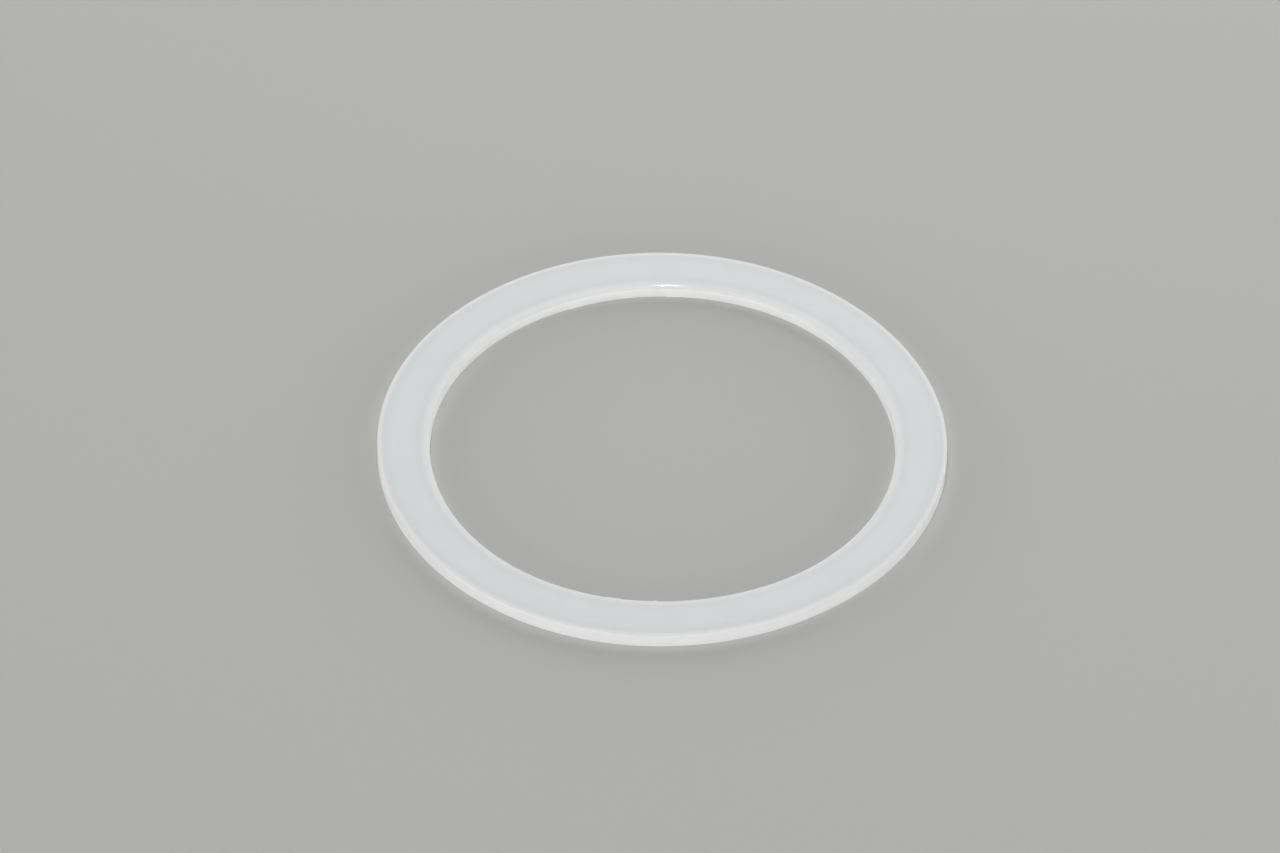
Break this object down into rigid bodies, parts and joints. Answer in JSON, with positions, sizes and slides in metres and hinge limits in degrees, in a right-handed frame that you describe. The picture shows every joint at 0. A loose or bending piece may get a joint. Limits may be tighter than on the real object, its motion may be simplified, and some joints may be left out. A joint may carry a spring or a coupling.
{
  "type": "flat gasket",
  "caption": "Flat ring gasket of milky, translucent soft rubber, with two flat sealing faces and a plain round bore whose upper edge is rounded.",
  "frame": {"origin": "centre of the lower sealing face, on the ring's axis", "axes": "+Z along the ring's axis, out of the upper sealing face, where the bore's edge is rounded; the ring looks the same turned about +Z"},
  "size_m": [0.079, 0.079, 0.002],
  "materials": {
    "milky_rubber": "smooth satin, milky and slightly translucent"
  },
  "bodies": {
    "root": {"gasket": "milky_rubber"}
  },
  "joints": []
}
